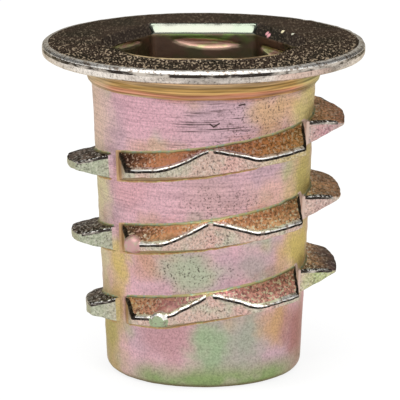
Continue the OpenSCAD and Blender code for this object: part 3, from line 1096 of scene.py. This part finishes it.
marks = add_marks(tree, position, fineness=16.0, around=0.5)
grain = add_grain(tree, position, scale=11.0)
ringed = ramp(tree, height, *RINGED_Z, 0.2, 1.0)
colour = blend(tree, ringed, colour, shade(tree, colour, marks["Rings"], 0.86, 1.1))
colour = shade(tree, colour, grain["Height"], 0.82, 1.16)
chatter = ramp(tree, patch_mask(tree, position, CHATTER), 0.0, 1.0, 0.06, 1.0)
colour = tint(tree, times(tree, ramp(tree, marks["Rings"], *BROAD_DASH), chatter), colour, DASH_DARK)
pitted = ramp(tree, patch_mask(tree, position, PITTED), 0.0, 1.0, 0.12, 0.9)
colour = tint(tree, times(tree, grain["Pits"], pitted), colour, PIT_DARK)
for first, last in NICK_STROKES:
    colour = tint(tree, stroke_mask(tree, position, first, last, NICK_W), colour, NICK_DARK)
rings = times(tree, marks["Rings"], ringed)
end_finish(tree, shader, colour, maths(tree, "ADD", rings, grain["Height"]), strength=0.3)
print("finish: turned_body")

# %% [markdown]
# The upper flanks of the thread are frosted by the die. Their brown to copper is partly the film's colour
# and partly painted shade for the dark that these upward faces mirror, with a smooth scored part beside the
# dip.

# %% Finish: the upper flanks
BROWN, COPPER, BRICK = (190, 152, 120), (252, 200, 152), (226, 170, 180)
FLANK_PATCHES = [
    (on_front(-44, 10.4, 5.6), (1.8, 2.4, 1.0), (82, 60, 56), 1.0),
    (on_front(-16, 10.6, 5.6), (1.1, 2.2, 1.0), COPPER, 0.95),
    (on_front(35, 11.2, 5.6), (2.2, 2.2, 1.2), (234, 190, 138), 0.9),
    (on_front(-40, 7.1, 5.6), (1.5, 2.4, 1.0), (130, 108, 92), 0.95),
    (on_front(35, 7.9, 5.6), (2.2, 2.2, 1.2), (236, 184, 146), 0.9),
    (on_front(0, 4.4, 5.6), (4.5, 2.4, 1.1), BRICK, 0.9),
    (on_front(38, 4.8, 5.6), (2.2, 2.2, 1.2), (226, 164, 164), 0.9),
    ((6.6, 0, 10.5), (1.9, 5, 3.0), (196, 144, 118), 0.95),
    ((6.6, 0, 4.8), (1.9, 5, 2.4), (98, 82, 92), 1.0),
]
SCORED = [(on_front(-14, z, 5.7), (0.8, 2.0, 0.9)) for z in (10.5, 7.2, 3.9)]
FLANK_PIT, FLANK_FLASH, SCORE_LIGHT = (78, 52, 40), (255, 246, 226), (250, 196, 172)
SMOOTHED, PIT_SHARE, TIP_X = 0.75, 0.35, (4.7, 5.3)
FROST_SQUASH, FROST_GRAIN, FROST_BUMP = (1, 0.45, 1), 9.0, (0.5, 0.04)

tree, position, shader = start_finish("upper_flank", rough=0.45)
colour = two_tone(tree, cloud(tree, position, scale=0.5), 0.42, 0.6, BROWN, COPPER)
colour = add_patches(tree, position, colour, FLANK_PATCHES)
grain = add_grain(tree, stretch(tree, position, FROST_SQUASH), FROST_GRAIN)
smooth = patch_mask(tree, position, SCORED)
rough_part = maths(tree, "SUBTRACT", 1.0, times(tree, smooth, SMOOTHED))
colour = blend(tree, rough_part, colour, shade(tree, colour, grain["Height"], 0.45, 1.45))
pits = times(tree, times(tree, grain["Pits"], PIT_SHARE), rough_part)
colour = tint(tree, pits, colour, FLANK_PIT)
aside = maths(tree, "ABSOLUTE", xyz(tree, position)["X"])
glitter = times(tree, rough_part, ramp(tree, aside, *TIP_X, 1.0, 0.4))
colour = tint(tree, times(tree, grain["Sparkle"], glitter), colour, FLANK_FLASH)
marks = add_marks(tree, position, fineness=16.0, around=0.4)
colour = tint(tree, times(tree, marks["Dashes"], smooth), colour, SCORE_LIGHT)
end_finish(tree, shader, colour, grain["Height"], *FROST_BUMP)
print("finish: upper_flank with", len(FLANK_PATCHES), "patches")

# %% [markdown]
# The tops of the left teeth are frosted too. Their grey is partly painted shade, and the black towards their
# tips is painted shade.

# %% Finish: the tops of the left teeth
TOOTH_GREY, TOOTH_DARK, TOOTH_TIP_SHADE, TOOTH_FLASH = (158, 142, 130), (92, 84, 78), (48, 44, 42), (255, 250, 240)
TOOTH_EDGE, TIP_SHADE_X = (0.4, 0.36, 0.32, 1), (-5.8, -6.3)

tree, position, shader = start_finish("left_tooth_top", rough=0.42, edge=TOOTH_EDGE)
colour = two_tone(tree, cloud(tree, position, scale=1.2), 0.42, 0.58, TOOTH_GREY, TOOTH_DARK)
# painted shade, black towards the tips
colour = tint(tree, ramp(tree, xyz(tree, position)["X"], *TIP_SHADE_X), colour, TOOTH_TIP_SHADE)
grain = add_grain(tree, stretch(tree, position, FROST_SQUASH), FROST_GRAIN)
colour = shade(tree, colour, grain["Height"], 0.2, 2.0)
colour = tint(tree, grain["Sparkle"], colour, TOOTH_FLASH)
end_finish(tree, shader, colour, grain["Height"], *FROST_BUMP)
print("finish: left_tooth_top")

# %% [markdown]
# The crest faces, the dips and the tooth ends are the cut of the die: pale, with green and pink clouds and
# a peppering of dark pits.

# %% Finish: the crest faces
CREST_PATCHES = [
    ((-5.6, -2.3, 7.5), (2.6, 4.0, 16), (172, 176, 152), 1.0),
    (on_front(40, 10.9, 5.9), (1.8, 2.0, 0.9), (196, 176, 130), 0.95),
    ((5.7, -2.2, 11), (1.2, 2.4, 1.4), (190, 142, 150), 0.9),
    ((5.5, -2.2, 7.8), (1.1, 2.4, 1.4), (200, 166, 160), 0.8),
    ((5.3, -2.2, 4.6), (1.1, 2.4, 1.6), (178, 190, 132), 0.95),
]
PEPPERED = [(on_front(6, z, 5.2), (1.0, 1.6, 0.7)) for z in (10.2, 6.9, 3.6)]
PEPPERED += [((-5.5, -2.4, 10.3), (1.0, 1.6, 0.9))]
CREST_TAN, CREST_GREEN, CREST_PINK = (204, 176, 162), (190, 182, 162), (212, 172, 162)
BLUSH_SHIFT, CREST_PIT, CREST_FLASH, FLASH_SHARE = (5, 2, 8), (84, 72, 66), (246, 238, 228), 0.25

tree, position, shader = start_finish("crest_face", rough=0.42)
colour = two_tone(tree, cloud(tree, position, scale=0.9), 0.42, 0.6, CREST_TAN, CREST_GREEN)
blush = cloud(tree, stretch(tree, position, shift=BLUSH_SHIFT), scale=0.7)
colour = tint(tree, ramp(tree, blush, 0.52, 0.7), colour, CREST_PINK)
colour = add_patches(tree, position, colour, CREST_PATCHES)
grain = add_grain(tree, position, scale=10.0)
colour = shade(tree, colour, grain["Height"], 0.7, 1.26)
peppered = ramp(tree, patch_mask(tree, position, PEPPERED), 0.0, 1.0, 0.4, 1.0)
colour = tint(tree, times(tree, grain["Pits"], peppered), colour, CREST_PIT)
colour = tint(tree, times(tree, grain["Sparkle"], FLASH_SHARE), colour, CREST_FLASH)
end_finish(tree, shader, colour, grain["Height"], strength=0.4)
print("finish: crest_face")

# %% [markdown]
# The narrow strips need only two colours each, mottled: the painted highlight on the edges and the painted
# shade line under it, the flanks below, the lines at the roots, the pips, and the strips where the die
# slides met.

# %% Finishes: the under flanks, lines and edges
EDGE_FINISHES = {  # main colour, colour of the mottle, roughness
    "under_flank": ((212, 220, 176), (206, 212, 182), 0.45),
    "foot_line": ((182, 144, 102), (190, 182, 126), 0.42),
    # painted highlight on the crest edges and the flange's top edge, broken by a greyer mottle
    "bright_edge": ((255, 252, 246), (168, 152, 138), 0.32),
    # painted shade line under the edges, mottled a little lighter
    "edge_shade": ((40, 36, 34), (98, 88, 80), 0.5),
    # painted glints broken by painted shade, on the teeth's edges
    "tooth_edge": ((62, 54, 48), (255, 252, 246), 0.35),
    "middle_pip": ((208, 168, 166), (198, 180, 162), 0.6),
    "lower_pip": ((172, 186, 152), (150, 146, 128), 0.6),
    "pip_rim": ((255, 252, 246), (206, 200, 186), 0.32),
    "root_line": ((178, 166, 120), (150, 170, 146), 0.42),
    "parting_strip": ((204, 168, 130), (190, 158, 120), 0.42),
}
RIGHT_STRIP, STRIP_X = (212, 186, 172), (-0.5, 0.5)
EDGE_MOTTLE, TOOTH_MOTTLE, EDGE_GRAIN = 5.0, 9.0, 9.0

for name, (main, other, rough) in EDGE_FINISHES.items():
    tree, position, shader = start_finish(name, rough)
    mottle = TOOTH_MOTTLE if name == "tooth_edge" else EDGE_MOTTLE
    colour = two_tone(tree, cloud(tree, position, mottle, detail=3.0, rough=0.7), 0.48, 0.62, main, other)
    if name == "parting_strip":
        colour = tint(tree, ramp(tree, xyz(tree, position)["X"], *STRIP_X), colour, RIGHT_STRIP)
    end_finish(tree, shader, colour, cloud(tree, position, EDGE_GRAIN), strength=0.4)
print("finishes:", sorted(EDGE_FINISHES))

# %% [markdown]
# The collar keeps the gold of the plating, with orange rings in it that waver a little. The cream at its
# foot is a painted highlight along its lower edge.

# %% Finish: the collar
COLLAR_BANDS = [  # height where each colour is reached
    # painted highlight along the collar's lower edge
    (13.3, (232, 210, 168)),
    (13.37, (178, 132, 90)),
    (13.44, (190, 136, 112)),
    (13.54, (182, 124, 92)),
    (13.64, (192, 154, 98)),
    (13.78, (162, 128, 76)),
    (13.94, (186, 154, 114)),
]
COLLAR_PATCHES = [
    ((-5.2, -0.5, 14), (1.8, 4, 3), (192, 172, 144), 0.9),
    ((5.2, 0, 14), (1.3, 5, 3), (172, 166, 116), 0.9),
]
WAVER, WAVER_STRETCH = 0.2, (0.5, 0.5, 4)

tree, position, shader = start_finish("gold_collar", rough=0.4)
marks = add_marks(tree, position, fineness=14.0, around=0.3)
waver = cloud(tree, stretch(tree, position, WAVER_STRETCH), scale=1.0)
level = maths(tree, "SUBTRACT", xyz(tree, position)["Z"], WAVER / 2)
wavy_height = maths(tree, "MULTIPLY_ADD", waver, WAVER, level)
colour = linear(*COLLAR_BANDS[0][1])
for (low, _), (high, band_colour) in zip(COLLAR_BANDS, COLLAR_BANDS[1:]):
    colour = tint(tree, ramp(tree, wavy_height, low, high), colour, band_colour)
colour = add_patches(tree, position, colour, COLLAR_PATCHES)
colour = shade(tree, colour, marks["Rings"], 0.5, 1.5)
end_finish(tree, shader, colour, marks["Rings"], strength=0.3)
print("finish: gold_collar with", len(COLLAR_BANDS), "bands")

# %% [markdown]
# The flange's rim is pale and smudged, with a painted shade line under its upper edge, broken by pale gaps.

# %% Finishes: the flange's rim
RIM_PATCHES = [
    (on_front(-45, 14.6, 7.2), (2.2, 2.4, 0.6), (238, 230, 220), 0.8),
    (on_front(50, 14.8, 7.2), (1.5, 2, 0.5), (140, 130, 120), 0.8),
    (on_front(35, 14.6, 7.2), (1.6, 2, 1), (216, 184, 168), 0.7),
    (on_front(4, 14.7, 7.2), (1.8, 2, 0.5), (166, 158, 150), 0.8),
]
RIM_PALE, RIM_SMUDGE, RIM_PIT, RIM_PITTED = (226, 216, 206), (180, 168, 156), (76, 68, 64), 0.5
SHADE_LINE_DARK, SHADE_LINE_GAP, FLAT_CLOUD = (56, 50, 46), (206, 196, 184), (1, 1, 3)

tree, position, shader = start_finish("flange_rim", rough=0.38)
smudge = cloud(tree, stretch(tree, position, FLAT_CLOUD), scale=0.9, detail=4.0, rough=0.6)
colour = two_tone(tree, smudge, 0.42, 0.66, RIM_PALE, RIM_SMUDGE)
colour = add_patches(tree, position, colour, RIM_PATCHES)
grain = add_grain(tree, position, scale=10.0)
colour = shade(tree, colour, grain["Height"], 0.8, 1.16)
colour = tint(tree, times(tree, grain["Pits"], RIM_PITTED), colour, RIM_PIT)
end_finish(tree, shader, colour, grain["Height"], strength=0.35)

# painted shade line under the flange's top edge, broken by pale gaps
tree, position, shader = start_finish("rim_shade", rough=0.42)
shade_gaps = cloud(tree, stretch(tree, position, FLAT_CLOUD), scale=0.8, detail=5.0, rough=0.7)
colour = two_tone(tree, shade_gaps, 0.46, 0.63, SHADE_LINE_DARK, SHADE_LINE_GAP)
end_finish(tree, shader, colour, cloud(tree, position, EDGE_GRAIN), strength=0.4)
print("finishes: flange_rim and rim_shade")

# %% [markdown]
# The flange's top is frosted like the flanks. Its dark brown is partly the film and partly painted shade for
# the dark that the flat top mirrors, and its sparkle is painted glints; grain and glints are strongest in
# front.
# A few nicks at the far edge of the mouth have a dull colour, so they are not metallic.

# %% Finish: the flange's top
NICKS = [
    ((2.9, 3.2, 14.75), 0.15, (214, 150, 156)),
    ((3.0, 3.0, 14.66), 0.16, (214, 150, 156)),
    ((3.61, 2.47, 14.96), 0.14, (214, 204, 166)),
    ((4.05, 1.79, 15.0), 0.13, (190, 190, 170)),
]
TOP_SHADE_BROWN, TOP_SHADE_GREY, TOP_FLASH = (116, 102, 92), (98, 92, 82), (255, 232, 200)
TOP_EDGE, TOP_SQUASH, FROST_Y = (0.3, 0.27, 0.24, 1), (1, 0.25, 1), (3.0, -4.0)

tree, position, shader = start_finish("flange_top", rough=0.42, edge=TOP_EDGE)
colour = two_tone(tree, cloud(tree, position, scale=0.5, detail=3.0), 0.4, 0.62, TOP_SHADE_BROWN, TOP_SHADE_GREY)
grain = add_grain(tree, stretch(tree, position, TOP_SQUASH), scale=12.0)
frost = ramp(tree, xyz(tree, position)["Y"], *FROST_Y, 0.25, 1.0)
colour = blend(tree, frost, colour, shade(tree, colour, grain["Height"], 0.02, 1.5))
# painted glints, strongest in front
colour = tint(tree, times(tree, grain["Sparkle"], frost), colour, TOP_FLASH)
nicked = 0.0
for centre, reach, nick_colour in NICKS:
    mask = spot_mask(tree, position, centre, reach)
    colour = tint(tree, mask, colour, nick_colour)
    nicked = maths(tree, "MAXIMUM", nicked, mask)
tree.links.new(maths(tree, "SUBTRACT", 1.0, nicked), shader.inputs["Metallic"])
end_finish(tree, shader, colour, grain["Height"], *FROST_BUMP)
print("finish: flange_top with", len(NICKS), "nicks")

# %% [markdown]
# Inside, the near lip gets a gold painted highlight that turns to painted shade at its ends, the chamfers in
# front and behind are grey and smooth, and the side chamfers and the far lip take the flange top's painted
# shade. The socket's walls are brown. The grooves that the tap left are told from the flats by how far they
# lie from the axis, and get a rougher pink and olive film. A green patch lies high on the far wall.

# %% Finishes: the socket and the bore
SOCKET_FINISHES = {  # main colour, colour of the clouds, roughness, bump
    # the near lip's gold is a painted highlight
    "mouth_edge": ((250, 222, 172), (156, 130, 100), 0.4, 0.2),
    "mouth_chamfer": ((106, 107, 98), (101, 107, 95), 0.16, 0.0),
    "socket_wall": ((150, 124, 108), (128, 122, 96), 0.38, 0.2),
    "bore_thread": ((186, 152, 110), (160, 150, 120), 0.35, 0.2),
}
LIP_END_SHADE, LIP_Y = (60, 52, 44), (-3.9, -2.7)
GREEN_PATCH = [((0.2, 4, 14.45), (2.4, 1.2, 0.3), (140, 176, 96), 0.9)]
TAP_PINK, TAP_OLIVE, TAP_ROUGH = (214, 174, 158), (206, 204, 152), 0.6
FLAT_TURNS, TAPPED_FROM = (30, 90, 150), (HEX_AF / 2 + 0.02, HEX_AF / 2 + 0.06)


def across_flats(tree, position):
    """How far a place lies from the axis, square to the flat that it is nearest to."""
    depth = 0.0
    for turn in FLAT_TURNS:
        reach = vectors(tree, "DOT_PRODUCT", position, (cos(radians(turn)), sin(radians(turn)), 0))
        depth = maths(tree, "MAXIMUM", depth, maths(tree, "ABSOLUTE", reach))
    return depth


for name, (main, other, rough, bumpy) in SOCKET_FINISHES.items():
    tree, position, shader = start_finish(name, rough)
    colour = two_tone(tree, cloud(tree, position, scale=0.8, detail=3.0), 0.42, 0.6, main, other)
    if name == "mouth_edge":
        # painted shade at the ends of the near lip
        colour = tint(tree, ramp(tree, xyz(tree, position)["Y"], *LIP_Y), colour, LIP_END_SHADE)
    if name == "socket_wall":
        colour = add_patches(tree, position, colour, GREEN_PATCH)
        tapped = ramp(tree, across_flats(tree, position), *TAPPED_FROM)
        film = cloud(tree, stretch(tree, position, FLAT_CLOUD), scale=1.1)
        colour = blend(tree, tapped, colour, two_tone(tree, film, 0.42, 0.58, TAP_PINK, TAP_OLIVE))
        tree.links.new(ramp(tree, tapped, 0.0, 1.0, rough, TAP_ROUGH), shader.inputs["Roughness"])
    end_finish(tree, shader, colour, cloud(tree, position, scale=6.0), bumpy)
print(len(mesh.materials), "finishes, in the order of their names:", mesh.materials.keys() == FINISHES)

# %% [markdown]
# ## The studio
# A white room and a white floor light the part evenly, so that its colours show as they are written. Metal
# also needs something dark to mirror: a grey hood over and behind the part, which only reflections can see,
# gives the flange and the upper flanks their depth. One soft lamp over the part, a little in front of it,
# makes the highlights on the edges.

# %% Floor
FLOOR_SIZE, FLOOR_GLOW, WHITE = 1.5, 0.85, (1, 1, 1, 1)


def stage_material(name, colour, glow):
    """A matt stage surface that adds a plain glow to what the camera and reflections see of it."""
    material = bpy.data.materials.new(name)
    material.use_nodes = True
    tree = material.node_tree
    tree.nodes.remove(tree.nodes["Principled BSDF"])
    matt = add(tree, "ShaderNodeBsdfDiffuse", {"Color": colour}).outputs[0]
    light = add(tree, "ShaderNodeEmission", {"Color": colour, "Strength": 1.0}).outputs[0]
    path = add(tree, "ShaderNodeLightPath").outputs
    seen = maths(tree, "MAXIMUM", path["Is Camera Ray"], path["Is Glossy Ray"])
    seen = maths(tree, "MAXIMUM", seen, path["Is Transmission Ray"])
    mixed = add(tree, "ShaderNodeMixShader", {0: times(tree, seen, glow), 1: matt, 2: light}).outputs[0]
    tree.links.new(mixed, tree.nodes["Material Output"].inputs["Surface"])
    return material


def stage_object(name, bm, material):
    """A piece of the studio, which is no part of the model."""
    stage_mesh = bpy.data.meshes.new(name)
    bm.to_mesh(stage_mesh)
    bm.free()
    stage_mesh.materials.append(material)
    thing = bpy.data.objects.new(name, stage_mesh)
    scene.collection.objects.link(thing)
    return thing


floor = bmesh.new()
bmesh.ops.create_grid(floor, x_segments=2, y_segments=2, size=FLOOR_SIZE)
stage_object("studio_floor", floor, stage_material("white_floor", WHITE, FLOOR_GLOW))
print("floor:", 2 * FLOOR_SIZE, "m across")

# %% Hood
HOOD_R, HOOD_Z, HOOD_GREY, WING_X, WING_GREY = 120, 10, 0.4, 0.42, 0.1
HOOD_SEGMENTS, HOOD_RINGS = 96, 48
OPEN_BELOW, OPEN_SLOPE, OPEN_FRONT = 0.35, 0.4, -0.12  # parts of a direction from the hood's middle

hood = bmesh.new()
bmesh.ops.create_uvsphere(hood, u_segments=HOOD_SEGMENTS, v_segments=HOOD_RINGS, radius=HOOD_R * MM)
bmesh.ops.translate(hood, verts=hood.verts[:], vec=(0, 0, HOOD_Z * MM))
open_faces = []
for face in hood.faces:
    d = (face.calc_center_median() - Vector((0, 0, HOOD_Z * MM))).normalized()
    if d.z < OPEN_BELOW - OPEN_SLOPE * d.y or d.y < OPEN_FRONT:
        open_faces.append(face)
bmesh.ops.delete(hood, geom=open_faces, context="FACES")
for face in hood.faces:
    face.material_index = abs(face.calc_center_median().x) > WING_X * HOOD_R * MM
hood_object = stage_object("grey_hood", hood, stage_material("hood_grey", (HOOD_GREY,) * 3 + (1,), 1.0))
hood_object.data.materials.append(stage_material("wing_grey", (WING_GREY,) * 3 + (1,), 1.0))
hood_object.visible_camera = False
hood_object.visible_diffuse = False
hood_object.visible_shadow = False
print("hood faces:", len(hood_object.data.polygons))

# %% Lamp and room
LAMP_SIZE, LAMP_POWER = 110 * MM, 0.17
LAMP_PLACE, LAMP_AIM = Vector((-10, -42, 160)) * MM, Vector((0, 0, 8)) * MM

lamp = bpy.data.lights.new("soft_lamp", "AREA")
lamp.shape, lamp.size, lamp.energy = "DISK", LAMP_SIZE, LAMP_POWER
lamp_object = bpy.data.objects.new("soft_lamp", lamp)
scene.collection.objects.link(lamp_object)
lamp_object.location = LAMP_PLACE
lamp_object.rotation_euler = (LAMP_AIM - LAMP_PLACE).to_track_quat("-Z", "Y").to_euler()

room = bpy.data.worlds.new("white_room")
room.use_nodes = True
background = room.node_tree.nodes["Background"].inputs
background["Color"].default_value = WHITE
background["Strength"].default_value = 1.0
scene.world = room
print("lamp", round((LAMP_AIM - LAMP_PLACE).length / MM), "mm from the part")
